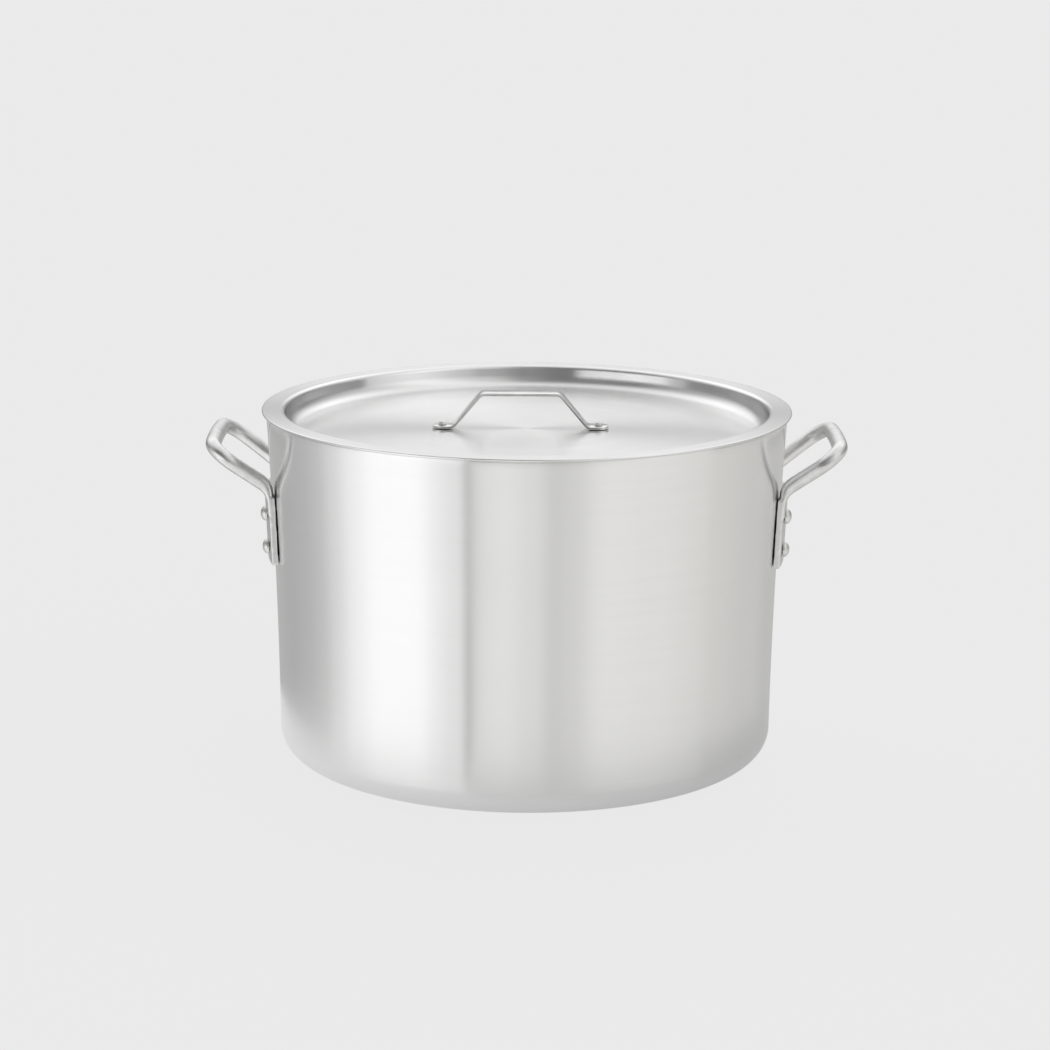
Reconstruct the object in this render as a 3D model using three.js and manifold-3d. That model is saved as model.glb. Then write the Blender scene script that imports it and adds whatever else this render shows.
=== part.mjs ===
import * as THREE from 'three';
import { mergeVertices } from 'three/addons/utils/BufferGeometryUtils.js';
import Module from 'manifold-3d';

// Aluminium stock pot with two riveted loop handles and a recessed lift-off lid. Millimetres, +Z up.
// The origin is the centre of the flat underside. +X runs through the right side handle, -Y is the front.

// Pot shell
const POT_HEIGHT = 248.3;
const WALL = 4;
const CORNER_RADIUS = 18.8;
const WALL_RADIUS_LOW = 177.6;
const WALL_RADIUS_MID = 180;
const WALL_RADIUS_RIM = 185.5;
const RIM_ROUNDING = 1.3;

// Lid
const SHEET = 1.6;
const LID_RADIUS = 188.6;
const RECESS_RADIUS = 171.9;
const RECESS_DEPTH = 15.7;
const RECESS_LEAN = THREE.MathUtils.degToRad(10);
const RING_BEND = 3.4;
const FLOOR_FILLET = 10.5;

// Lid strap handle
const STRAP_WIDTH = 15;
const STRAP_THICKNESS = 2;
const STRAP_LENGTH = 126;
const STRAP_TOP_LENGTH = 56;
const STRAP_RISE = 24;
const STRAP_SLOPE = THREE.MathUtils.degToRad(50);
const STRAP_BEND = 6;
const STRAP_OFFSET = -4.5;
const STRAP_RIVET_SPACING = 111.5;

// Side handles: a rod loop that grows out of a curved mounting plate
const ROD_RADIUS = 5.27;
const LOOP_INCLINE = THREE.MathUtils.degToRad(36);
const LOOP_LENGTH = 50.8;
const LOOP_ROOT_X = 180.7;
const LOOP_ROOT_Z = 199.3;
const LOOP_ROOT_HALF_SPACING = 43.5;
const LOOP_END_HALF_SPACING = 53.6;
const LOOP_CORNER = 16.9;
const ROOT_OVERRUN = 8;
const PLATE_THICKNESS = 4.5;
const PLATE_RADIUS = 195;
const PLATE_WIDTH = 97;
const PLATE_BOTTOM = 144;
const PLATE_TOP = 193;
const TRIM_DEPTH = 30;
const TRIM_WIDTH = 127;

// Rivets
const RIVET_HALF_SPACING = 37;
const RIVET_LEVELS = { lower: 156, upper: 180 };
const SIDE_RIVET = { shank: 3, head: 5.3, headHeight: 3.9, tail: 5.5, tailHeight: 2 };
const LID_RIVET = { shank: 2, head: 3, headHeight: 2.7, tail: 3.4, tailHeight: 1.2 };
const RIVET_CLEARANCE = 0.3;
const HOLE_CUT_LENGTH = 40;

// Clearance between pieces that touch, and the number of facets
const GAP = 0.3;
const AROUND = 92;
const ROD_FACETS = 12;
const ROD_STEPS = 34;
const RIVET_FACETS = 12;

// Heights that follow from the sizes above
const RING_TOP = POT_HEIGHT + GAP + SHEET;
const FLOOR_TOP = RING_TOP - RECESS_DEPTH;
const FLOOR_BOTTOM = FLOOR_TOP - SHEET;

const wasm = await Module();
wasm.setup();

const MATERIALS = {
  pot: { color: 0xd2d2cf, roughness: 0.34 },
  lid: { color: 0xd8d8d6, roughness: 0.3 },
  casting: { color: 0xc6c6c3, roughness: 0.45 },
  strap: { color: 0xcfcfcd, roughness: 0.25 },
  rivet: { color: 0xbfbfbc, roughness: 0.4 },
};

/** A named mesh with a material of its own. */
function piece(name, geometry, finish) {
  const material = new THREE.MeshStandardMaterial({ ...MATERIALS[finish], metalness: 1 });
  const mesh = new THREE.Mesh(geometry, material);
  mesh.name = name;
  return mesh;
}

/** A closed BufferGeometry as a manifold solid. */
function solidOf(geometry) {
  const bare = geometry.clone();
  bare.deleteAttribute('normal');
  bare.deleteAttribute('uv');
  const merged = mergeVertices(bare, 1e-4);
  const index = merged.index.array;
  const triangles = [];
  for (let i = 0; i < index.length; i += 3) {
    const [a, b, c] = index.slice(i, i + 3);
    if (a !== b && b !== c && c !== a) triangles.push(a, b, c);
  }
  return new wasm.Manifold(new wasm.Mesh({
    numProp: 3,
    vertProperties: new Float32Array(merged.attributes.position.array),
    triVerts: new Uint32Array(triangles),
  }));
}

/** A manifold solid as a BufferGeometry. */
function geometryOf(solid) {
  const { vertProperties, triVerts } = solid.getMesh();
  const geometry = new THREE.BufferGeometry();
  geometry.setAttribute('position', new THREE.BufferAttribute(vertProperties, 3));
  geometry.setIndex(new THREE.BufferAttribute(triVerts, 1));
  geometry.computeVertexNormals();
  return geometry;
}

/** Points on an arc, from angle start to angle end in degrees. */
function arc(x, y, radius, start, end, steps) {
  return Array.from({ length: steps + 1 }, (_, i) => {
    const angle = THREE.MathUtils.degToRad(start + ((end - start) * i) / steps);
    return new THREE.Vector2(x + radius * Math.cos(angle), y + radius * Math.sin(angle));
  });
}

/** A profile of radius and height, turned about the Z axis. */
function turned(profile, facets) {
  return new THREE.LatheGeometry(profile, facets).rotateX(Math.PI / 2);
}

// ---------------------------------------------------------------- pot shell

/** Outer radius of the wall at a height: a shallow curve that flares towards the rim. */
function wallRadius(z) {
  const up = (z - CORNER_RADIUS) / (POT_HEIGHT - CORNER_RADIUS);
  const flare = 2 * (WALL_RADIUS_LOW - 2 * WALL_RADIUS_MID + WALL_RADIUS_RIM);
  return WALL_RADIUS_LOW + (WALL_RADIUS_RIM - WALL_RADIUS_LOW) * up + flare * up * (up - 1);
}

/** How far the wall leans outward from upright at a height, in radians. */
function wallLean(z) {
  return Math.atan((wallRadius(z + 1) - wallRadius(z - 1)) / 2);
}

/** Wall points from the corner up to below the rim, set in from the outer face. */
function wallLine(inset, steps) {
  return Array.from({ length: steps + 1 }, (_, i) => {
    const z = CORNER_RADIUS + ((POT_HEIGHT - RIM_ROUNDING - CORNER_RADIUS) * i) / steps;
    return new THREE.Vector2(wallRadius(z) - inset, z);
  }).slice(1);
}

function potProfile() {
  const cornerX = WALL_RADIUS_LOW - CORNER_RADIUS;
  const outerRimX = wallRadius(POT_HEIGHT) - RIM_ROUNDING;
  const innerRimX = wallRadius(POT_HEIGHT) - WALL + RIM_ROUNDING;
  const rimZ = POT_HEIGHT - RIM_ROUNDING;
  return [
    new THREE.Vector2(0, 0),
    ...arc(cornerX, CORNER_RADIUS, CORNER_RADIUS, -90, 0, 6),
    ...wallLine(0, 5).slice(0, -1),
    ...arc(outerRimX, rimZ, RIM_ROUNDING, 0, 90, 2),
    ...arc(innerRimX, rimZ, RIM_ROUNDING, 90, 180, 2),
    ...wallLine(WALL, 4).slice(0, -1).reverse(),
    ...arc(cornerX, CORNER_RADIUS, CORNER_RADIUS - WALL, 0, -90, 5),
    new THREE.Vector2(0, WALL),
  ];
}

// ---------------------------------------------------------------- rivets

/** A solid rivet along +X: its head's underside is at x = grip, its tail's top at x = 0. */
function rivetGeometry({ shank, head, headHeight, tail, tailHeight }, grip) {
  const dome = (radius, height, steps) => Array.from({ length: steps + 1 }, (_, i) => {
    const angle = (i / steps) * (Math.PI / 2);
    return new THREE.Vector2(radius * Math.cos(angle), height * Math.sin(angle));
  });
  const headDome = dome(head, headHeight, 4).map((p) => new THREE.Vector2(p.x, grip + p.y));
  const tailDome = dome(tail, tailHeight, 3).map((p) => new THREE.Vector2(p.x, -p.y));
  const profile = [
    ...tailDome.reverse(),
    new THREE.Vector2(shank, 0),
    new THREE.Vector2(shank, grip),
    ...headDome,
  ];
  profile[0].x = 0;
  profile.at(-1).x = 0;
  return new THREE.LatheGeometry(profile, RIVET_FACETS).rotateZ(-Math.PI / 2);
}

/** A hole for a rivet's shank, along X through the origin. */
function rivetHole({ shank }) {
  const radius = shank + RIVET_CLEARANCE;
  return new THREE.CylinderGeometry(radius, radius, HOLE_CUT_LENGTH, RIVET_FACETS).rotateZ(-Math.PI / 2);
}

/** Places a piece that is built along +X on the wall's outer face, square to the wall. */
function onWall(azimuth, height) {
  return new THREE.Matrix4().makeRotationZ(azimuth)
    .multiply(new THREE.Matrix4().makeTranslation(wallRadius(height), 0, height))
    .multiply(new THREE.Matrix4().makeRotationY(wallLean(height)));
}

/** Every side rivet: its name and its place on the wall. */
function sideRivetPlaces() {
  const spread = Math.asin(RIVET_HALF_SPACING / WALL_RADIUS_MID);
  const azimuths = {
    left: { front: Math.PI + spread, back: Math.PI - spread },
    right: { front: -spread, back: spread },
  };
  return Object.entries(azimuths).flatMap(([side, ends]) => (
    Object.entries(ends).flatMap(([end, azimuth]) => (
      Object.entries(RIVET_LEVELS).map(([level, height]) => (
        { side, name: `rivet_${side}_${end}_${level}`, place: onWall(azimuth, height) }
      ))
    ))
  ));
}

/** How far a plate bent flatter than the wall stands off it, at the rivets. */
function plateStandOff() {
  const drop = (radius) => radius - Math.sqrt(radius ** 2 - RIVET_HALF_SPACING ** 2);
  return GAP + drop(WALL_RADIUS_MID) - drop(PLATE_RADIUS);
}

function sideRivets() {
  const tailSeat = WALL + GAP;
  const grip = tailSeat + plateStandOff() + PLATE_THICKNESS + GAP;
  const geometry = rivetGeometry(SIDE_RIVET, grip).translate(-tailSeat, 0, 0);
  return sideRivetPlaces().map(({ name, place }) => {
    const rivet = piece(name, geometry.clone(), 'rivet');
    rivet.applyMatrix4(place);
    return rivet;
  });
}

// ---------------------------------------------------------------- side handles

/** A flat path as a 3-D curve in the XY plane. */
class FlatCurve extends THREE.Curve {
  constructor(path) {
    super();
    this.path = path;
  }

  getPoint(t) {
    const point = this.path.getPoint(t);
    return new THREE.Vector3(point.x, point.y, 0);
  }
}

/** The loop's centreline in its own plane: out along one leg, across the end and back along the other. */
function loopPath() {
  const flare = Math.atan((LOOP_END_HALF_SPACING - LOOP_ROOT_HALF_SPACING) / LOOP_LENGTH);
  const legAt = (x) => LOOP_ROOT_HALF_SPACING + x * Math.tan(flare);
  const cornerX = LOOP_LENGTH - LOOP_CORNER;
  const cornerY = legAt(cornerX) - LOOP_CORNER / Math.cos(flare);
  const legEndX = cornerX - LOOP_CORNER * Math.sin(flare);
  const path = new THREE.Path();
  path.moveTo(-ROOT_OVERRUN, -legAt(-ROOT_OVERRUN));
  path.lineTo(legEndX, -legAt(legEndX));
  path.absarc(cornerX, -cornerY, LOOP_CORNER, -Math.PI / 2 - flare, 0, false);
  path.absarc(cornerX, cornerY, LOOP_CORNER, 0, Math.PI / 2 + flare, false);
  path.lineTo(-ROOT_OVERRUN, legAt(-ROOT_OVERRUN));
  return path;
}

function loopRod() {
  const section = new THREE.Shape();
  section.absarc(0, 0, ROD_RADIUS, 0, Math.PI * 2, false);
  return new THREE.ExtrudeGeometry(section, {
    curveSegments: ROD_FACETS / 2,
    steps: ROD_STEPS,
    extrudePath: new FlatCurve(loopPath()),
  }).rotateY(-LOOP_INCLINE).translate(LOOP_ROOT_X, 0, LOOP_ROOT_Z);
}

/** A band that is bent round an upright axis and leans with the wall, between two heights. */
function bentBand(innerRadius, thickness, width, bottom, top) {
  const spread = Math.asin(width / 2 / innerRadius);
  const shape = new THREE.Shape();
  shape.absarc(0, 0, innerRadius + thickness, -spread, spread, false);
  shape.absarc(0, 0, innerRadius, spread, -spread, true);
  const plateMiddle = (PLATE_BOTTOM + PLATE_TOP) / 2;
  return new THREE.ExtrudeGeometry(shape, { curveSegments: 5, depth: top - bottom, bevelEnabled: false })
    .translate(-PLATE_RADIUS, 0, bottom - plateMiddle)
    .rotateY(wallLean(plateMiddle))
    .translate(wallRadius(plateMiddle) + GAP, 0, plateMiddle);
}

/** The right handle. The loop's root is trimmed flush with the plate's inner face. */
function handleSolid() {
  const plate = solidOf(bentBand(PLATE_RADIUS, PLATE_THICKNESS, PLATE_WIDTH, PLATE_BOTTOM, PLATE_TOP));
  const trim = solidOf(bentBand(PLATE_RADIUS - TRIM_DEPTH, TRIM_DEPTH, TRIM_WIDTH, PLATE_BOTTOM, POT_HEIGHT));
  return solidOf(loopRod()).subtract(trim).add(plate);
}

function sideHandles() {
  let solid = handleSolid();
  const hole = solidOf(rivetHole(SIDE_RIVET));
  for (const { side, place } of sideRivetPlaces()) {
    if (side === 'right') solid = solid.subtract(hole.transform(place.elements));
  }
  const right = piece('side_handle_right', geometryOf(solid), 'casting');
  const left = piece('side_handle_left', geometryOf(solid), 'casting');
  left.rotation.z = Math.PI;
  return [left, right];
}

function potBody() {
  let solid = solidOf(turned(potProfile(), AROUND));
  const hole = solidOf(rivetHole(SIDE_RIVET));
  for (const { place } of sideRivetPlaces()) solid = solid.subtract(hole.transform(place.elements));
  return piece('pot_body', geometryOf(solid), 'pot');
}

// ---------------------------------------------------------------- lid

function lidProfile() {
  const lean = THREE.MathUtils.radToDeg(RECESS_LEAN);
  const bendX = RECESS_RADIUS + RING_BEND;
  const bendZ = RING_TOP - RING_BEND;
  const filletZ = FLOOR_TOP + FLOOR_FILLET;
  const bothBends = (RING_BEND + FLOOR_FILLET) / Math.cos(RECESS_LEAN);
  const wallRun = (bendZ - filletZ) * Math.tan(RECESS_LEAN) + bothBends;
  const filletX = bendX - wallRun;
  const edgeX = LID_RADIUS - SHEET / 2;
  const edgeZ = RING_TOP - SHEET / 2;
  return [
    new THREE.Vector2(0, FLOOR_BOTTOM),
    ...arc(filletX, filletZ, FLOOR_FILLET + SHEET, -90, -lean, 4),
    ...arc(bendX, bendZ, RING_BEND - SHEET, 180 - lean, 90, 2),
    ...arc(edgeX, edgeZ, SHEET / 2, -90, 90, 4),
    ...arc(bendX, bendZ, RING_BEND, 90, 180 - lean, 3),
    ...arc(filletX, filletZ, FLOOR_FILLET, -lean, -90, 4),
    new THREE.Vector2(0, FLOOR_TOP),
  ];
}

/** Where the strap's two rivets stand on the lid. */
function strapRivetPlaces() {
  return [['left', -1], ['right', 1]].map(([side, sign]) => (
    { side, x: STRAP_OFFSET + (sign * STRAP_RIVET_SPACING) / 2 }
  ));
}

/** Cuts an upright shank hole at each strap rivet. */
function cutStrapHoles(solid) {
  const hole = solidOf(rivetHole(LID_RIVET).rotateY(-Math.PI / 2));
  return strapRivetPlaces().reduce(
    (rest, { x }) => rest.subtract(hole.translate([x, 0, FLOOR_TOP])),
    solid,
  );
}

function lidShell() {
  const solid = cutStrapHoles(solidOf(turned(lidProfile(), AROUND)));
  return piece('lid_shell', geometryOf(solid), 'lid');
}

/** The strap's centreline, from the left foot to the right foot. */
function strapLine() {
  const rise = STRAP_RISE;
  const halfTop = STRAP_TOP_LENGTH / 2;
  const halfFoot = halfTop + rise / Math.tan(STRAP_SLOPE);
  const setBack = STRAP_BEND * Math.tan(STRAP_SLOPE / 2);
  const slope = THREE.MathUtils.radToDeg(STRAP_SLOPE);
  const leftHalf = [
    new THREE.Vector2(-STRAP_LENGTH / 2, 0),
    ...arc(-halfFoot - setBack, STRAP_BEND, STRAP_BEND, -90, slope - 90, 4),
    ...arc(-halfTop + setBack, rise - STRAP_BEND, STRAP_BEND, 90 + slope, 90, 4),
  ];
  const rightHalf = leftHalf.map((p) => new THREE.Vector2(-p.x, p.y)).reverse();
  return [...leftHalf, ...rightHalf];
}

/** A line of points moved sideways by a distance. */
function offsetLine(points, distance) {
  return points.map((point, i) => {
    const before = points[Math.max(i - 1, 0)];
    const after = points[Math.min(i + 1, points.length - 1)];
    const along = after.clone().sub(before).normalize();
    return new THREE.Vector2(point.x - along.y * distance, point.y + along.x * distance);
  });
}

function lidHandle() {
  const line = strapLine();
  const side = new THREE.Shape([
    ...offsetLine(line, STRAP_THICKNESS / 2),
    ...offsetLine(line, -STRAP_THICKNESS / 2).reverse(),
  ]);
  const strap = new THREE.ExtrudeGeometry(side, { depth: STRAP_WIDTH, bevelEnabled: false })
    .translate(0, 0, -STRAP_WIDTH / 2)
    .rotateX(Math.PI / 2);
  const endRadius = STRAP_WIDTH / 2;
  const endX = STRAP_LENGTH / 2 - endRadius;
  const plan = new THREE.Shape();
  plan.absarc(endX, 0, endRadius, -Math.PI / 2, Math.PI / 2, false);
  plan.absarc(-endX, 0, endRadius, Math.PI / 2, (3 * Math.PI) / 2, false);
  const cut = { curveSegments: 5, depth: 3 * STRAP_RISE, bevelEnabled: false };
  const outline = new THREE.ExtrudeGeometry(plan, cut).translate(0, 0, -STRAP_RISE);
  const footHeight = FLOOR_TOP + GAP + STRAP_THICKNESS / 2;
  const solid = solidOf(strap).intersect(solidOf(outline)).translate([STRAP_OFFSET, 0, footHeight]);
  return piece('lid_handle', geometryOf(cutStrapHoles(solid)), 'strap');
}

function lidRivets() {
  const grip = GAP + SHEET + GAP + STRAP_THICKNESS + GAP;
  const geometry = rivetGeometry(LID_RIVET, grip).rotateY(-Math.PI / 2);
  return strapRivetPlaces().map(({ side, x }) => {
    const rivet = piece(`lid_rivet_${side}`, geometry.clone(), 'rivet');
    rivet.position.set(x, 0, FLOOR_BOTTOM - GAP);
    return rivet;
  });
}

// ---------------------------------------------------------------- assembly

const pot = new THREE.Group();
pot.add(potBody(), ...sideHandles(), ...sideRivets());

const lid = new THREE.Group();
lid.add(lidShell(), lidHandle(), ...lidRivets());

const group = new THREE.Group();
group.add(pot, lid);
export default group;
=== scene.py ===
import math

import bpy
import numpy as np
from mathutils import Matrix, Vector


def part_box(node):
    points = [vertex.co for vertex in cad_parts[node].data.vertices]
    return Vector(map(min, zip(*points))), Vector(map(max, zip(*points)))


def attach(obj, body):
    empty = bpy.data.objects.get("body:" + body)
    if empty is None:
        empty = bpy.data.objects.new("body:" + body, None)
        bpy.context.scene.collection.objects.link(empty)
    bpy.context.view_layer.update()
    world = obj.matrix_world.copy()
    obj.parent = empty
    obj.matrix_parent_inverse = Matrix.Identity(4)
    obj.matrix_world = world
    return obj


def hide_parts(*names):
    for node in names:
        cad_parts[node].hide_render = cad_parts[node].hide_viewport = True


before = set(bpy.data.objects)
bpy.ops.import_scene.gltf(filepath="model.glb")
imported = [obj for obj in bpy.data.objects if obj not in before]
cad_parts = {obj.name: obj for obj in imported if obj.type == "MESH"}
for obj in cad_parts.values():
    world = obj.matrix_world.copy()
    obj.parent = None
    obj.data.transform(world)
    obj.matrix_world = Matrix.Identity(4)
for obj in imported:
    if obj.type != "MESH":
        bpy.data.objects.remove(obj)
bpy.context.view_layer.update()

# Stock pot with riveted loop handles and a recessed lift-off lid. Metres, +Z up, -Y is the front.
MM = 0.001

# Pot shell
WALL = 4.0 * MM
CORNER_RADIUS = 18.8 * MM
WALL_RADIUS_LOW = 177.6 * MM
WALL_RADIUS_MID = 180.0 * MM
RIM_ROUNDING = 1.3 * MM

# Lid
SHEET = 1.6 * MM
RECESS_RADIUS = 171.9 * MM
RECESS_DEPTH = 15.7 * MM
RECESS_LEAN = math.radians(10)
RING_BEND = 3.4 * MM
FLOOR_FILLET = 10.5 * MM

# Lid strap
STRAP_THICKNESS = 2.0 * MM
STRAP_TOP_LENGTH = 56.0 * MM
STRAP_SLOPE = math.radians(50)
STRAP_BEND = 6.0 * MM
STRAP_EDGE = 0.45 * MM
STRAP_TIP_REACH = 7.5 * MM
STRAP_TIP_STEPS = 14
STRAP_TIP_CROWDING = 1.7
STRAP_TIP_HALF_WIDTH = 0.35 * MM
STRAP_TIP_ROUNDING = 0.8

# Side handles
ROD_RADIUS = 5.2 * MM
GRIP_SWELL = 0.5 * MM
LOOP_INCLINE = math.radians(36)
LOOP_LENGTH = 50.8 * MM
LOOP_ROOT_X = 180.7 * MM
LOOP_ROOT_Z = 199.3 * MM
LOOP_ROOT_HALF_SPACING = 43.5 * MM
LOOP_END_HALF_SPACING = 53.6 * MM
LOOP_CORNER = 16.9 * MM
LOOP_BOW = 0.8 * MM
ROOT_BEND = 13.5 * MM
FOOT_LENGTH = 12.0 * MM
FOOT_SPREAD = 1.2 * MM
FLATTEN_FROM_Z = LOOP_ROOT_Z + 6.0 * MM
PLATE_THICKNESS = 4.5 * MM
PLATE_RADIUS = 190.0 * MM
PLATE_WIDTH = 97.0 * MM
PLATE_TOP = 193.0 * MM
PLATE_EDGE = 0.9 * MM
PLATE_GAP = 0.3 * MM
FLATTEN_TO_Z = PLATE_TOP - 5.0 * MM
GRIP_FROM_X = 196.0 * MM
GRIP_TO_X = 216.0 * MM
CASTING_VOXEL = 0.75 * MM
CASTING_SMOOTHING = 5
PATH_SMOOTHING = 16

# Rivets
SIDE_RIVET_HEAD = 5.3 * MM
SIDE_RIVET_HEIGHT = 3.9 * MM
SIDE_RIVET_SEAT = 5.68 * MM
SIDE_RIVET_SHANK = 3.0 * MM
SIDE_RIVET_TAIL = 5.5 * MM
SIDE_RIVET_TAIL_HEIGHT = 2.0 * MM
LID_RIVET_HEAD = 3.0 * MM
LID_RIVET_HEIGHT = 2.7 * MM
LID_RIVET_SHANK = 2.0 * MM
LID_RIVET_TAIL = 3.4 * MM
LID_RIVET_TAIL_HEIGHT = 1.2 * MM
RIVET_LAND = 0.25 * MM

# Facets all the way round, and steps up the wall
AROUND = 288
RIVET_AROUND = 40
ROD_AROUND = 28
FLOOR_AROUND = 96
WALL_STEPS = 48

# The four rounded corners of a flat section: which side, which face, and the arc's first angle
CORNERS = ((1, 1, 0), (-1, 1, 90), (-1, -1, 180), (1, -1, 270))

# Heights and radii that the frame holds
POT_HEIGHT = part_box("pot_body")[1].z
RIM_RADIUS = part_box("pot_body")[1].y
LID_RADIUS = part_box("lid_shell")[1].y
RING_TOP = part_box("lid_shell")[1].z
FLOOR_TOP = RING_TOP - RECESS_DEPTH


# ---------------------------------------------------------------- mesh tools

def mesh_object(name, points, faces):
    """A smooth-shaded mesh object at the origin, in the row frame."""
    mesh = bpy.data.meshes.new(name)
    mesh.from_pydata([tuple(p) for p in points], [], faces)
    mesh.validate()
    mesh.polygons.foreach_set("use_smooth", [True] * len(mesh.polygons))
    obj = bpy.data.objects.new(name, mesh)
    bpy.context.scene.collection.objects.link(obj)
    return obj


def arc(x, z, radius, start, end, steps):
    """Points on an arc from angle start to angle end, in degrees."""
    angles = np.radians(np.linspace(start, end, steps + 1))
    return [(x + radius * math.cos(a), z + radius * math.sin(a)) for a in angles]


def lathe(profile, segments):
    """Points and faces of a (radius, height) profile turned about the upright axis it starts and ends on."""
    rings = profile[1:-1]
    turn = np.linspace(0, 2 * math.pi, segments, endpoint=False)
    points = [(0, 0, profile[0][1])]
    for radius, z in rings:
        points += [(radius * math.cos(t), radius * math.sin(t), z) for t in turn]
    points.append((0, 0, profile[-1][1]))
    last = len(points) - 1
    top = 1 + (len(rings) - 1) * segments
    faces = []
    for i in range(segments):
        j = (i + 1) % segments
        faces.append((0, 1 + j, 1 + i))
        faces.append((last, top + i, top + j))
        for row in range(len(rings) - 1):
            a = 1 + row * segments
            faces.append((a + i, a + j, a + j + segments, a + i + segments))
    return points, faces


def sweep(sections):
    """Points and faces of a closed tube through rings of equal length, with a fan over each end."""
    count = len(sections[0])
    points = [p for ring in sections for p in ring]
    faces = []
    for row in range(len(sections) - 1):
        for i in range(count):
            j = (i + 1) % count
            a = row * count
            faces.append((a + i, a + j, a + count + j, a + count + i))
    for ring, flip in ((0, True), (len(sections) - 1, False)):
        centre = len(points)
        points.append(np.mean(sections[ring], axis=0))
        for i in range(count):
            pair = (ring * count + i, ring * count + (i + 1) % count)
            faces.append((centre, *(reversed(pair) if flip else pair)))
    return points, faces


def merge(*parts):
    """Several sets of points and faces as one."""
    points, faces = [], []
    for part_points, part_faces in parts:
        shift = len(points)
        points += list(part_points)
        faces += [tuple(i + shift for i in face) for face in part_faces]
    return points, faces


def remeshed(name, points, faces, voxel, smoothing):
    """One smooth skin round overlapping closed shells, as a cast piece has."""
    rough = mesh_object(name + "_rough", points, faces)
    remesh = rough.modifiers.new("skin", "REMESH")
    remesh.mode = "VOXEL"
    remesh.voxel_size = voxel
    remesh.adaptivity = 0
    soften = rough.modifiers.new("soften", "SMOOTH")
    soften.factor = 0.5
    soften.iterations = smoothing
    evaluated = rough.evaluated_get(bpy.context.evaluated_depsgraph_get())
    mesh = bpy.data.meshes.new_from_object(evaluated)
    mesh.name = name
    mesh.polygons.foreach_set("use_smooth", [True] * len(mesh.polygons))
    bpy.data.objects.remove(rough)
    obj = bpy.data.objects.new(name, mesh)
    bpy.context.scene.collection.objects.link(obj)
    return obj


def finish_piece(obj, body, material, slot, *nodes):
    """Gives a piece its material and its body, and hides the CAD nodes that it stands for. Its slot is not
    used.
    """
    obj.data.materials.clear()
    obj.data.materials.append(material)
    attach(obj, body)
    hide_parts(*nodes)
    return obj


# ---------------------------------------------------------------- pot shell

def wall_radius(z):
    """Outer radius of the wall: a shallow curve that flares towards the rim."""
    up = (z - CORNER_RADIUS) / (POT_HEIGHT - CORNER_RADIUS)
    flare = 2 * (WALL_RADIUS_LOW - 2 * WALL_RADIUS_MID + RIM_RADIUS)
    return WALL_RADIUS_LOW + (RIM_RADIUS - WALL_RADIUS_LOW) * up + flare * up * (up - 1)


def wall_lean(z):
    """How far the wall leans outward from upright, in radians."""
    return math.atan((wall_radius(z + MM) - wall_radius(z - MM)) / (2 * MM))


def wall_line(inset):
    """Points up the wall from the corner to the rim, moved inward from its outside."""
    heights = np.linspace(CORNER_RADIUS, POT_HEIGHT - RIM_ROUNDING, WALL_STEPS + 1)[1:-1]
    return [(wall_radius(z) - inset, z) for z in heights]


def pot_profile():
    """The pot's section: under the base, up the outside, over the rim and down the inside."""
    corner_x = WALL_RADIUS_LOW - CORNER_RADIUS
    rim_z = POT_HEIGHT - RIM_ROUNDING
    return [
        (0, 0),
        *[(corner_x * share, 0) for share in (0.3, 0.6, 0.85, 0.98)],
        *arc(corner_x, CORNER_RADIUS, CORNER_RADIUS, -90, 0, 18),
        *wall_line(0),
        *arc(RIM_RADIUS - RIM_ROUNDING, rim_z, RIM_ROUNDING, 0, 90, 6),
        *arc(RIM_RADIUS - WALL + RIM_ROUNDING, rim_z, RIM_ROUNDING, 90, 180, 6),
        *reversed(wall_line(WALL)),
        *arc(corner_x, CORNER_RADIUS, CORNER_RADIUS - WALL, 0, -90, 14),
        *[(corner_x * share, WALL) for share in (0.98, 0.85, 0.6, 0.3)],
        (0, WALL),
    ]


def make_pot_body(material):
    pot = mesh_object("pot_shell", *lathe(pot_profile(), AROUND))
    return finish_piece(pot, "pot", material, "pot_shell", "pot_body")


# ---------------------------------------------------------------- lid

def lid_profile():
    """The lid's section: under the floor, up the recess, round the ring's edge and back over the top."""
    lean = math.degrees(RECESS_LEAN)
    bend_x, bend_z = RECESS_RADIUS + RING_BEND, RING_TOP - RING_BEND
    fillet_z = FLOOR_TOP + FLOOR_FILLET
    bends_run = (RING_BEND + FLOOR_FILLET) / math.cos(RECESS_LEAN)
    fillet_x = bend_x - ((bend_z - fillet_z) * math.tan(RECESS_LEAN) + bends_run)
    edge_x, edge_z = LID_RADIUS - SHEET / 2, RING_TOP - SHEET / 2
    ring_in, ring_out = (bend_x + (edge_x - bend_x) * share for share in (0.06, 0.94))
    inward = (0.985, 0.9, 0.75, 0.55, 0.35, 0.15)
    return [
        (0, FLOOR_TOP - SHEET),
        *[(fillet_x * share, FLOOR_TOP - SHEET) for share in reversed(inward)],
        *arc(fillet_x, fillet_z, FLOOR_FILLET + SHEET, -90, -lean, 14),
        *arc(bend_x, bend_z, RING_BEND - SHEET, 180 - lean, 90, 6),
        (ring_in, RING_TOP - SHEET),
        (ring_out, RING_TOP - SHEET),
        *arc(edge_x, edge_z, SHEET / 2, -90, 90, 12),
        (ring_out, RING_TOP),
        (ring_in, RING_TOP),
        *arc(bend_x, bend_z, RING_BEND, 90, 180 - lean, 12),
        *arc(fillet_x, fillet_z, FLOOR_FILLET, -lean, -90, 14),
        *[(fillet_x * share, FLOOR_TOP) for share in inward],
        (0, FLOOR_TOP),
    ]


def make_lid_shell(material):
    lid = mesh_object("lid_sheet", *lathe(lid_profile(), AROUND))
    return finish_piece(lid, "lid", material, "lid_sheet", "lid_shell")


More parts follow.
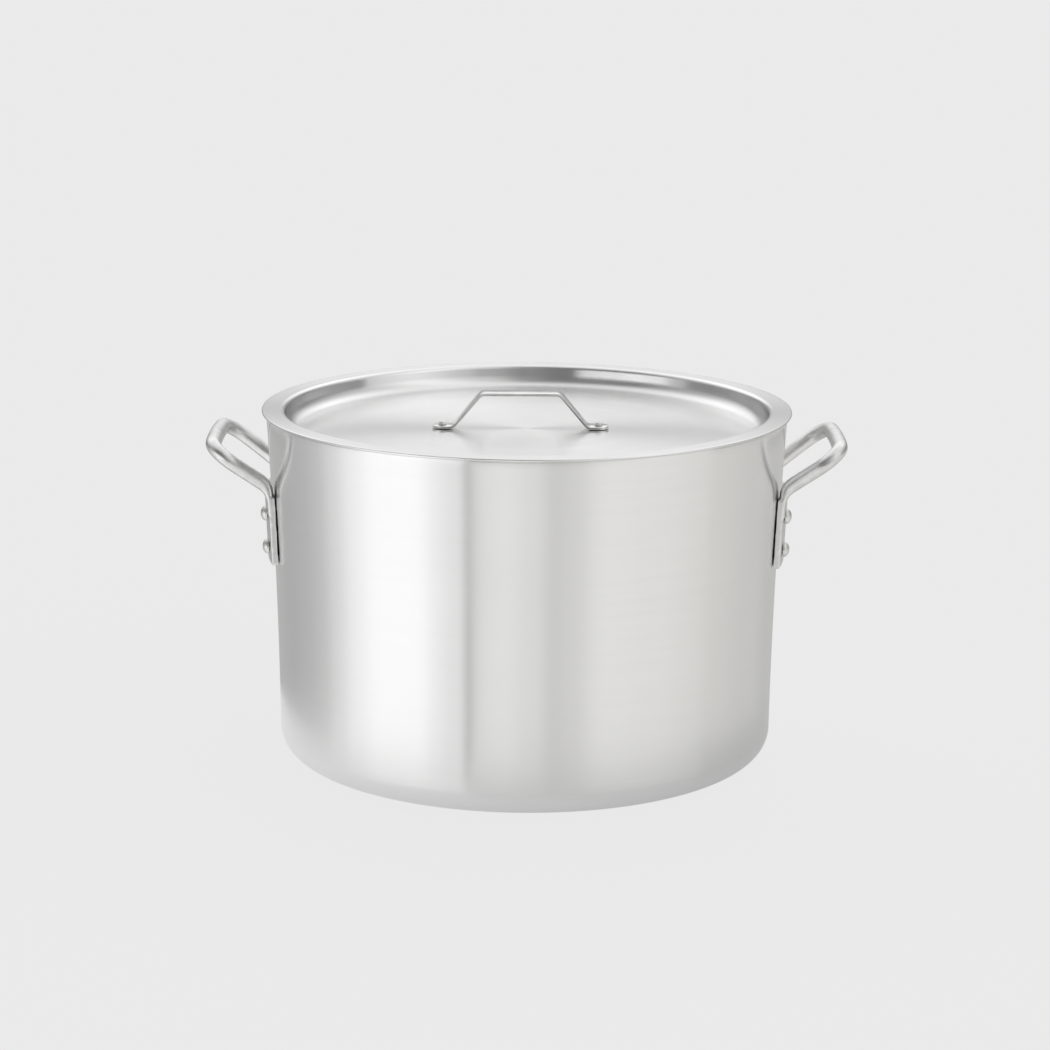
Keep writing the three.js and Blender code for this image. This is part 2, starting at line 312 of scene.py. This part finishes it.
def strap_line(length, rise):
    """The strap's centreline as (along, height), with its points crowded at the two round tips."""
    half_top = STRAP_TOP_LENGTH / 2
    half_foot = half_top + rise / math.tan(STRAP_SLOPE)
    set_back = STRAP_BEND * math.tan(STRAP_SLOPE / 2)
    slope = math.degrees(STRAP_SLOPE)
    crowded = np.linspace(0, 1, STRAP_TIP_STEPS) ** STRAP_TIP_CROWDING
    tip = [(-length / 2 + x, 0) for x in crowded * STRAP_TIP_REACH]
    left = [
        *tip,
        *arc(-half_foot - set_back, STRAP_BEND, STRAP_BEND, -90, slope - 90, 10),
        *arc(-half_top + set_back, rise - STRAP_BEND, STRAP_BEND, 90 + slope, 90, 10),
        (-half_top * 0.5, rise),
    ]
    right = [(-x, z) for x, z in reversed(left)]
    return np.array(left + right)


def make_lid_handle(material):
    """A flat strap with rounded edges and half-round ends, swept along its bends."""
    low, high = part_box("lid_handle")
    middle, width = (low.x + high.x) / 2, high.y - low.y
    length, rise = high.x - low.x, high.z - low.z - STRAP_THICKNESS
    line = strap_line(length, rise)
    ahead = np.gradient(line, axis=0)
    ahead /= np.linalg.norm(ahead, axis=1)[:, None]
    half = STRAP_THICKNESS / 2
    end = width / 2
    sections = []
    for (x, z), (dx, dz) in zip(line, ahead):
        from_tip = min(x + length / 2, length / 2 - x)
        reach = end if from_tip >= end else math.sqrt(max(end**2 - (end - from_tip) ** 2, 0))
        reach = max(reach, STRAP_TIP_HALF_WIDTH)
        edge = min(STRAP_EDGE, reach * STRAP_TIP_ROUNDING)
        ring = []
        for side_y, side_n, start in CORNERS:
            corner = arc(side_y * (reach - edge), side_n * (half - edge), edge, start, start + 90, 4)
            for across, normal in corner:
                ring.append((middle + x - dz * normal, across, low.z + half + z + dx * normal))
        sections.append(ring)
    strap = mesh_object("lid_strap", *sweep(sections))
    return finish_piece(strap, "lid", material, "strap", "lid_handle")


# ---------------------------------------------------------------- rivets

def rivet_shape(head, height, grip, shank, tail, tail_height):
    """A solid rivet along +Z, its head's underside at z = grip, and an upright land under its dome."""
    foot, rise = grip + RIVET_LAND, height - RIVET_LAND
    dome = [(head * math.cos(a), foot + rise * math.sin(a)) for a in np.radians(np.linspace(0, 86, 12))]
    tail_dome = [(tail * math.cos(a), -tail_height * math.sin(a)) for a in np.radians(np.linspace(86, 0, 8))]
    shank_line = [(shank, 0), (shank, grip), (head, grip)]
    profile = [(0, -tail_height), *tail_dome, *shank_line, *dome, (0, grip + height)]
    return lathe(profile, RIVET_AROUND)


def place(shape, matrix):
    """A shape's points and faces, moved by a matrix."""
    points, faces = shape
    return [matrix @ Vector(p) for p in points], faces


def make_side_rivet(side, end, level, material):
    """A side rivet, square to the wall at its CAD node's place."""
    node = f"rivet_{side}_{end}_{level}"
    low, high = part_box(node)
    centre = (low + high) / 2
    azimuth = math.atan2(centre.y, centre.x)
    z = centre.z
    grip = SIDE_RIVET_SEAT + WALL
    outward = (
        Matrix.Rotation(azimuth, 4, "Z")
        @ Matrix.Translation((wall_radius(z) - WALL, 0, z))
        @ Matrix.Rotation(wall_lean(z) + math.pi / 2, 4, "Y")
    )
    shape = rivet_shape(SIDE_RIVET_HEAD, SIDE_RIVET_HEIGHT, grip,
                        SIDE_RIVET_SHANK, SIDE_RIVET_TAIL, SIDE_RIVET_TAIL_HEIGHT)
    rivet = mesh_object(node + "_head", *place(shape, outward))
    return finish_piece(rivet, "pot", material, "rivet", node)


def make_lid_rivet(side, material):
    """A strap rivet, upright through the lid's floor at its CAD node's place."""
    node = f"lid_rivet_{side}"
    low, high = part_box(node)
    grip = high.z - LID_RIVET_HEIGHT - (FLOOR_TOP - SHEET)
    shape = rivet_shape(LID_RIVET_HEAD, LID_RIVET_HEIGHT, grip,
                        LID_RIVET_SHANK, LID_RIVET_TAIL, LID_RIVET_TAIL_HEIGHT)
    upright = Matrix.Translation(((low.x + high.x) / 2, 0, FLOOR_TOP - SHEET))
    rivet = mesh_object(node + "_head", *place(shape, upright))
    return finish_piece(rivet, "lid", material, "rivet", node)


# ---------------------------------------------------------------- side handles

def root_bend_run():
    """How far the bend at a leg's root takes up each of the two lines that it joins."""
    return ROOT_BEND * math.tan((math.pi / 2 - LOOP_INCLINE) / 2)


def loop_half():
    """Centreline points of half a loop in its own plane, from the middle of the end bar to the leg's root."""
    flare = math.atan((LOOP_END_HALF_SPACING - LOOP_ROOT_HALF_SPACING) / LOOP_LENGTH)
    bar_x = LOOP_LENGTH - GRIP_SWELL
    corner_x = LOOP_LENGTH - LOOP_CORNER
    corner_y = LOOP_ROOT_HALF_SPACING + corner_x * math.tan(flare) - LOOP_CORNER / math.cos(flare)
    bar = [(bar_x - LOOP_BOW * (y / corner_y) ** 2, y) for y in np.linspace(0, corner_y, 24)[:-1]]
    corner = arc(corner_x - GRIP_SWELL - LOOP_BOW, corner_y, LOOP_CORNER, 0, 90 + math.degrees(flare), 24)
    leg_xs = np.linspace(corner[-1][0], root_bend_run(), 16)[1:]
    leg = [(x, LOOP_ROOT_HALF_SPACING + x * math.tan(flare)) for x in leg_xs]
    return bar + corner + leg


def handle_centreline():
    """Half a handle's centreline in space, from the end bar's middle to inside the plate."""
    cos, sin = math.cos(LOOP_INCLINE), math.sin(LOOP_INCLINE)
    path = [(LOOP_ROOT_X + x * cos, y, LOOP_ROOT_Z + x * sin) for x, y in loop_half()]
    bend_z = LOOP_ROOT_Z - root_bend_run()
    turn = 90 + math.degrees(LOOP_INCLINE)
    for x, z in arc(LOOP_ROOT_X + ROOT_BEND, bend_z, ROOT_BEND, turn, 180, 12)[1:]:
        path.append((x, LOOP_ROOT_HALF_SPACING, z))
    lean = math.tan(wall_lean(PLATE_TOP))
    for drop in np.linspace(0, FOOT_LENGTH, 7)[1:]:
        path.append((LOOP_ROOT_X - drop * lean, LOOP_ROOT_HALF_SPACING, bend_z - drop))
    points = np.array(path)
    for _ in range(PATH_SMOOTHING):
        points[1:-1] = points[1:-1] * 0.5 + (points[:-2] + points[2:]) * 0.25
    return points


def share_between(value, start, end):
    """How far a value has come from start to end, as a share from 0 to 1."""
    return min(max((value - start) / (end - start), 0), 1)


def handle_rod():
    """The loop's rod, whose feet flatten into the plate. Its frame is carried from the end bar outwards."""
    half = handle_centreline()
    path = np.vstack([half[::-1] * (1, -1, 1), half[1:]])
    ahead = np.gradient(path, axis=0)
    ahead /= np.linalg.norm(ahead, axis=1)[:, None]
    middle = len(half) - 1
    normals = np.zeros_like(path)
    normals[middle] = (-math.sin(LOOP_INCLINE), 0, math.cos(LOOP_INCLINE))
    for order in (range(middle + 1, len(path)), range(middle - 1, -1, -1)):
        previous = middle
        for i in order:
            carried = normals[previous] - ahead[i] * np.dot(normals[previous], ahead[i])
            normals[i] = carried / np.linalg.norm(carried)
            previous = i
    turn = np.linspace(0, 2 * math.pi, ROD_AROUND, endpoint=False)
    sections = []
    for point, forward, normal in zip(path, ahead, normals):
        across = np.cross(normal, forward)
        down = share_between(point[2], FLATTEN_FROM_Z, FLATTEN_TO_Z)
        flat = down * down * (3 - 2 * down)
        grip = share_between(point[0], GRIP_FROM_X, GRIP_TO_X)
        thick = ROD_RADIUS + (PLATE_THICKNESS / 2 - ROD_RADIUS) * flat
        wide = ROD_RADIUS + FOOT_SPREAD * flat + GRIP_SWELL * grip
        sections.append([point + across * wide * math.cos(t) + normal * thick * math.sin(t) for t in turn])
    return sweep(sections)


def handle_plate():
    """The mounting plate with rounded edges, bent flatter than the wall and leaning with it."""
    bottom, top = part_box("side_handle_right")[0].z, PLATE_TOP
    middle = (bottom + top) / 2
    spread = math.asin(PLATE_WIDTH / 2 / PLATE_RADIUS)
    to_wall = (
        Matrix.Translation((wall_radius(middle) + PLATE_GAP, 0, middle))
        @ Matrix.Rotation(wall_lean(middle), 4, "Y")
        @ Matrix.Translation((-PLATE_RADIUS, 0, 0))
    )
    inner, outer = PLATE_RADIUS, PLATE_RADIUS + PLATE_THICKNESS
    height = (top - bottom) / 2 / math.cos(wall_lean(middle))
    sections = []
    for angle in np.linspace(-spread, spread, 40):
        ring = []
        for r_side, z_side, start in CORNERS:
            r_mid = (inner + outer) / 2 + r_side * (PLATE_THICKNESS / 2 - PLATE_EDGE)
            for r, z in arc(r_mid, z_side * (height - PLATE_EDGE), PLATE_EDGE, start, start + 90, 4):
                ring.append(to_wall @ Vector((r * math.cos(angle), r * math.sin(angle), z)))
        sections.append(ring)
    return sweep(sections)


def make_side_handles(material):
    """The right casting from its rod and plate, and the left one as the same casting turned half round."""
    shape = merge(handle_rod(), handle_plate())
    right = remeshed("side_handle_right_cast", *shape, CASTING_VOXEL, CASTING_SMOOTHING)
    left = bpy.data.objects.new("side_handle_left_cast", right.data.copy())
    left.data.transform(Matrix.Rotation(math.pi, 4, "Z"))
    bpy.context.scene.collection.objects.link(left)
    for side, obj in (("right", right), ("left", left)):
        finish_piece(obj, "pot", material, "casting", "side_handle_" + side)


# ---------------------------------------------------------------- materials

class Nodes:
    """Short calls for building a node tree."""

    def __init__(self, tree):
        self.tree = tree
        tree.nodes.clear()

    def add(self, kind, inputs=None, **settings):
        node = self.tree.nodes.new(kind)
        for name, value in settings.items():
            setattr(node, name, value)
        for key, value in (inputs or {}).items():
            if isinstance(value, bpy.types.NodeSocket):
                self.tree.links.new(value, node.inputs[key])
            else:
                node.inputs[key].default_value = value
        return node

    def math(self, operation, a, b=0.0):
        return self.add("ShaderNodeMath", {0: a, 1: b}, operation=operation).outputs[0]

    def remap(self, value, from_low, from_high, to_low, to_high):
        node = self.add("ShaderNodeMapRange", {
            "Value": value, "From Min": from_low, "From Max": from_high, "To Min": to_low, "To Max": to_high})
        node.clamp = True
        return node.outputs["Result"]

    def weighted(self, a, a_share, b, b_share):
        return self.math("ADD", self.math("MULTIPLY", a, a_share), self.math("MULTIPLY", b, b_share))

    def object_place(self):
        return self.add("ShaderNodeTexCoord").outputs["Object"]

    def split(self, vector):
        return self.add("ShaderNodeSeparateXYZ", {0: vector}).outputs

    def noise(self, vector, scale, detail, roughness=0.55):
        return self.add("ShaderNodeTexNoise", {
            "Vector": vector, "Scale": scale, "Detail": detail, "Roughness": roughness}).outputs["Fac"]

    def blend(self, factor, a, b):
        """A mix of two colours, each a socket or a plain colour."""
        node = self.add("ShaderNodeMix", {"Factor": factor}, data_type="RGBA")
        for end, colour in (("A", a), ("B", b)):
            if isinstance(colour, bpy.types.NodeSocket):
                self.tree.links.new(colour, node.inputs[end])
            else:
                node.inputs[end].default_value = (*colour, 1)
        return node.outputs["Result"]


# How fast the spun grain changes round the axis and across it, and the scales of the other patterns
FINE_GRAIN = (14, 2600)
BROAD_GRAIN = (5, 260)
CLOUD_SCALE = 22.0
MOTTLE_SCALE = 120.0
PEEL_SCALE = 520.0
GRAIN_DEPTH = 0.2 * MM
PEEL_DEPTH = 0.4 * MM

# A quarter turn, so that a highlight stretches across the spun grain
HIGHLIGHT_TURN = 0.25

# A finish's darkest and lightest shades, as shares of its colour
SPUN_SHADES = (0.97, 1.02)
CAST_SHADES = (0.82, 1.06)

# The range of each pattern's values that is stretched to its whole effect
SPUN_RANGE = (0.3, 0.7)
CAST_TONE_RANGE = (0.3, 0.75)
CAST_ROUGHNESS_RANGE = (0.25, 0.7)
EDGE_RANGE = (0.5, 0.56)


def shades(colour, darker, lighter):
    """A darker and a lighter shade of a colour."""
    return [c * darker for c in colour], [min(c * lighter, 1) for c in colour]


def grain_coordinates(nodes, slow, fast):
    """Coordinates that change slowly round the axis and fast across it, for the grain of a spun finish."""
    x, y, z = nodes.split(nodes.object_place())
    squares = nodes.math("ADD", nodes.math("MULTIPLY", x, x), nodes.math("MULTIPLY", y, y))
    across = nodes.math("ADD", nodes.math("SQRT", squares), z)
    return nodes.add("ShaderNodeCombineXYZ", {
        0: nodes.math("MULTIPLY", x, slow),
        1: nodes.math("MULTIPLY", y, slow),
        2: nodes.math("MULTIPLY", across, fast)}).outputs[0]


def spun_aluminium(name, colour, rough_low, rough_high, anisotropy, bump):
    """Sheet aluminium with a grain round its axis: streaks in tone and roughness, and faint clouds."""
    material = bpy.data.materials.new(name)
    material.use_nodes = True
    nodes = Nodes(material.node_tree)
    fine = nodes.noise(grain_coordinates(nodes, *FINE_GRAIN), 1.0, 2.0)
    broad = nodes.noise(grain_coordinates(nodes, *BROAD_GRAIN), 1.0, 3.0)
    cloud = nodes.noise(nodes.object_place(), CLOUD_SCALE, 4.0)
    streaks = nodes.weighted(fine, 0.5, broad, 0.5)
    tone = nodes.remap(nodes.weighted(streaks, 0.7, cloud, 0.3), *SPUN_RANGE, 0, 1)
    tint = nodes.blend(tone, *shades(colour, *SPUN_SHADES))
    roughness = nodes.remap(nodes.weighted(streaks, 0.55, cloud, 0.45), *SPUN_RANGE, rough_low, rough_high)
    height = nodes.add("ShaderNodeBump", {"Height": fine, "Strength": bump, "Distance": GRAIN_DEPTH})
    tangent = nodes.add("ShaderNodeTangent", direction_type="RADIAL", axis="Z")
    shader = nodes.add("ShaderNodeBsdfPrincipled", {
        "Base Color": tint, "Metallic": 1.0, "Roughness": roughness, "Normal": height.outputs[0],
        "Anisotropic": anisotropy, "Anisotropic Rotation": HIGHLIGHT_TURN, "Tangent": tangent.outputs[0]})
    nodes.add("ShaderNodeOutputMaterial", {"Surface": shader.outputs[0]})
    return material


def cast_aluminium(name, colour, rough_low, rough_high, bump, edge_polish):
    """Tumbled aluminium: mottled satin with a soft orange peel, brighter where its edges are rubbed."""
    material = bpy.data.materials.new(name)
    material.use_nodes = True
    nodes = Nodes(material.node_tree)
    mottle = nodes.noise(nodes.object_place(), MOTTLE_SCALE, 5.0, 0.6)
    peel = nodes.noise(nodes.object_place(), PEEL_SCALE, 3.0, 0.5)
    edges = nodes.add("ShaderNodeNewGeometry").outputs["Pointiness"]
    rubbed = nodes.remap(edges, *EDGE_RANGE, 0, edge_polish)
    tone = nodes.remap(nodes.math("ADD", mottle, rubbed), *CAST_TONE_RANGE, 0, 1)
    tint = nodes.blend(tone, *shades(colour, *CAST_SHADES))
    worn = nodes.math("SUBTRACT", mottle, rubbed)
    roughness = nodes.remap(worn, *CAST_ROUGHNESS_RANGE, rough_low, rough_high)
    height = nodes.add("ShaderNodeBump", {
        "Height": nodes.weighted(mottle, 0.6, peel, 0.4), "Strength": bump, "Distance": PEEL_DEPTH})
    shader = nodes.add("ShaderNodeBsdfPrincipled", {
        "Base Color": tint, "Metallic": 1.0, "Roughness": roughness, "Normal": height.outputs[0]})
    nodes.add("ShaderNodeOutputMaterial", {"Surface": shader.outputs[0]})
    return material


# ---------------------------------------------------------------- stage

BACKDROP = 0.823
FLOOR_GREY = 0.80
FLOOR_GLOW = 0.843

# The share of the floor's look that is an even glow, to the camera and where the pot mirrors it
FLOOR_EVENNESS_SEEN = 0.93
FLOOR_EVENNESS_MIRRORED = 0.7

# How bright that glow is where it is mirrored, at the left and right ends of its reach: painted light,
# brighter on the left and darker on the right, in place of the fall-off of light from the left
FLOOR_GLOW_LEFT = 1.2
FLOOR_GLOW_RIGHT = 0.6
FLOOR_GLOW_REACH = 0.22

FLOOR_NEAR_RADIUS = 0.26
FLOOR_FAR_RADIUS = 30.0
FLOOR_DROP = 0.2 * MM
STUDIO_STRENGTH = 1.5

# Brightness round the room, by degrees from the front, positive to the right: below the horizon,
# at the height of the two softboxes, and above them
LOW_BANDS = [
    (-180, 0.34), (-136, 0.32), (-118, 0.36), (-106, 0.43), (-95, 0.58), (-84, 0.72),
    (-72, 0.77), (-50, 0.75), (-40, 0.62), (-34, 0.55), (-29, 0.55), (-27, 0.34),
    (-25.4, 0.34), (-23, 0.59), (-18, 0.65), (-10, 0.67), (4, 0.61), (13, 0.51),
    (22, 0.54), (36, 0.61), (60, 0.56), (90, 0.52), (125, 0.45), (150, 0.38),
    (180, 0.34),
]
SOFTBOX_BANDS = [
    (-180, 0.32), (-165, 0.22), (-150, 0.13), (-120, 0.08), (-90, 0.14), (-80, 0.48),
    (-68, 1.05), (-54, 1.25), (-28, 1.25), (-22, 0.05), (23, 0.05), (29, 0.28),
    (60, 0.54), (84, 0.50), (90, 0.06), (140, 0.10), (165, 0.25), (180, 0.32),
]
HIGH_BANDS = [
    (-180, 0.60), (-140, 0.50), (-100, 0.28), (-60, 0.09), (-20, 0.12), (0, 0.20),
    (25, 0.44), (60, 0.70), (100, 0.38), (140, 0.26), (165, 0.42), (180, 0.60),
]
LOW_WARMTH = 0.04

# Between which heights (the upward part of a direction) one set of bands gives way to the next
SOFTBOX_BLEND = (-0.06, 0.04)
HIGH_BLEND = (0.16, 0.30)

# A bright ceiling, tilted towards the back, that dims again straight overhead
CEILING = 0.85
CEILING_TILT = math.radians(30)
CEILING_BLEND = (0.62, 0.85)
CEILING_BRIGHT_TO = math.radians(35)
CEILING_DIM_FROM = math.radians(60)
ZENITH = 0.61


def grey(value):
    """A plain grey as a shader colour."""
    return (value, value, value, 1)


def band_ramp(nodes, azimuth, bands, warmth=0.0):
    """Grey bands round the room, slightly warm towards the right."""
    node = nodes.add("ShaderNodeValToRGB", {"Fac": azimuth})
    node.color_ramp.interpolation = "EASE"
    elements = node.color_ramp.elements
    while len(elements) > 1:
        elements.remove(elements[-1])
    for i, (degrees, value) in enumerate(bands):
        position = degrees / 360 + 0.5
        element = elements[0] if i == 0 else elements.new(position)
        element.position = position
        warm = warmth * max(0.4 + 0.6 * math.sin(math.radians(degrees)), 0)
        element.color = (value, value * (1 - warm / 4), value * (1 - warm), 1)
    return node.outputs["Color"]


def make_world():
    """A soft studio: bands of light round the room, a bright ceiling, and a plain backdrop to the camera."""
    world = bpy.data.worlds.new("studio")
    bpy.context.scene.world = world
    world.use_nodes = True
    nodes = Nodes(world.node_tree)
    x, y, z = nodes.split(nodes.add("ShaderNodeTexCoord").outputs["Generated"])
    turn = nodes.math("ARCTAN2", x, nodes.math("MULTIPLY", y, -1.0))
    azimuth = nodes.math("ADD", nodes.math("DIVIDE", turn, 2 * math.pi), 0.5)
    light = band_ramp(nodes, azimuth, LOW_BANDS, LOW_WARMTH)
    for bands, heights in ((SOFTBOX_BANDS, SOFTBOX_BLEND), (HIGH_BANDS, HIGH_BLEND)):
        light = nodes.blend(nodes.remap(z, *heights, 0, 1), light, band_ramp(nodes, azimuth, bands))
    overhead = nodes.weighted(z, math.cos(CEILING_TILT), y, math.sin(CEILING_TILT))
    ceiling = nodes.remap(z, math.sin(CEILING_BRIGHT_TO), math.sin(CEILING_DIM_FROM), CEILING, ZENITH)
    light = nodes.blend(nodes.remap(overhead, *CEILING_BLEND, 0, 1), light, ceiling)
    studio = nodes.add("ShaderNodeBackground", {"Color": light, "Strength": STUDIO_STRENGTH})
    plain = nodes.add("ShaderNodeBackground", {"Color": grey(BACKDROP), "Strength": 1.0})
    seen = nodes.add("ShaderNodeLightPath").outputs["Is Camera Ray"]
    shown = nodes.add("ShaderNodeMixShader", {0: seen, 1: studio.outputs[0], 2: plain.outputs[0]})
    nodes.add("ShaderNodeOutputWorld", {"Surface": shown.outputs[0]})


def plain_floor_material():
    """A pale floor, even to the camera, with painted light where the pot mirrors it: a glow that is brighter
    towards the left and darker towards the right.
    """
    material = bpy.data.materials.new("pale_floor")
    material.use_nodes = True
    nodes = Nodes(material.node_tree)
    lit = nodes.add("ShaderNodeBsdfDiffuse", {"Color": grey(FLOOR_GREY)})
    seen = nodes.add("ShaderNodeLightPath").outputs["Is Camera Ray"]
    sideways = nodes.split(nodes.object_place())[0]
    # Painted light: where it is mirrored, the floor glows brighter on the left and darker on the right, in
    # place of light falling off across it
    painted_light_falloff = nodes.remap(sideways, -FLOOR_GLOW_REACH, FLOOR_GLOW_REACH, FLOOR_GLOW_LEFT, FLOOR_GLOW_RIGHT)
    glow = nodes.math("POWER", painted_light_falloff, nodes.math("SUBTRACT", 1.0, seen))
    even = nodes.add("ShaderNodeEmission", {"Color": grey(FLOOR_GLOW), "Strength": glow})
    evenness = nodes.remap(seen, 0, 1, FLOOR_EVENNESS_MIRRORED, FLOOR_EVENNESS_SEEN)
    shader = nodes.add("ShaderNodeMixShader", {0: evenness, 1: lit.outputs[0], 2: even.outputs[0]})
    nodes.add("ShaderNodeOutputMaterial", {"Surface": shader.outputs[0]})
    return material


def make_floor():
    """A pale floor in two pieces: a near disc that the pot's base mirrors, and a wide ring round it."""
    material = plain_floor_material()
    turn = np.linspace(0, 2 * math.pi, FLOOR_AROUND, endpoint=False)
    near = [(FLOOR_NEAR_RADIUS * math.cos(t), FLOOR_NEAR_RADIUS * math.sin(t), 0) for t in turn]
    far = [(FLOOR_FAR_RADIUS * math.cos(t), FLOOR_FAR_RADIUS * math.sin(t), 0) for t in turn]
    disc = mesh_object("floor_near", near, [tuple(range(FLOOR_AROUND))])
    faces = []
    for i in range(FLOOR_AROUND):
        j = (i + 1) % FLOOR_AROUND
        faces.append((FLOOR_AROUND + i, FLOOR_AROUND + j, j, i))
    ring = mesh_object("floor_wide", near + far, faces)
    ring.visible_glossy = False
    for floor in (disc, ring):
        floor.location.z = -FLOOR_DROP
        floor.data.materials.append(material)


CAMERA_PLACE = (-0.0008, -2.056, 0.6336)
CAMERA_DOWNWARD = math.radians(12.88)
CAMERA_ROLL = 0.0065
CAMERA_LENS = 100.4
CAMERA_SENSOR = 36


def make_camera():
    """The camera stands in front of the pot, above its lid, and looks slightly down."""
    data = bpy.data.cameras.new("camera")
    data.lens = CAMERA_LENS
    data.sensor_width = CAMERA_SENSOR
    camera = bpy.data.objects.new("camera", data)
    bpy.context.scene.collection.objects.link(camera)
    camera.matrix_world = (
        Matrix.Translation(CAMERA_PLACE)
        @ Matrix.Rotation(math.pi / 2 - CAMERA_DOWNWARD, 4, "X")
        @ Matrix.Rotation(CAMERA_ROLL, 4, "Z")
    )
    bpy.context.scene.camera = camera


# ---------------------------------------------------------------- the model

make_camera()
make_world()
make_floor()
bpy.context.scene.view_settings.view_transform = "Standard"

pot_finish = spun_aluminium(
    "brushed_pot", colour=(0.87, 0.87, 0.868), rough_low=0.20, rough_high=0.24, anisotropy=1.0, bump=0.007)
lid_finish = spun_aluminium(
    "brushed_lid", colour=(0.89, 0.89, 0.888), rough_low=0.19, rough_high=0.24, anisotropy=1.0, bump=0.010)
cast_finish = cast_aluminium(
    "cast_handle", colour=(0.83, 0.83, 0.825), rough_low=0.30, rough_high=0.46, bump=0.36, edge_polish=0.3)
strap_finish = cast_aluminium(
    "strap_metal", colour=(0.88, 0.88, 0.87), rough_low=0.10, rough_high=0.18, bump=0.04, edge_polish=0.1)
rivet_finish = cast_aluminium(
    "rivet_metal", colour=(0.82, 0.82, 0.81), rough_low=0.40, rough_high=0.54, bump=0.2, edge_polish=0.3)

make_pot_body(pot_finish)
make_lid_shell(lid_finish)
make_lid_handle(strap_finish)
make_side_handles(cast_finish)
for side in ("left", "right"):
    make_lid_rivet(side, rivet_finish)
    for end in ("front", "back"):
        for level in ("lower", "upper"):
            make_side_rivet(side, end, level, rivet_finish)
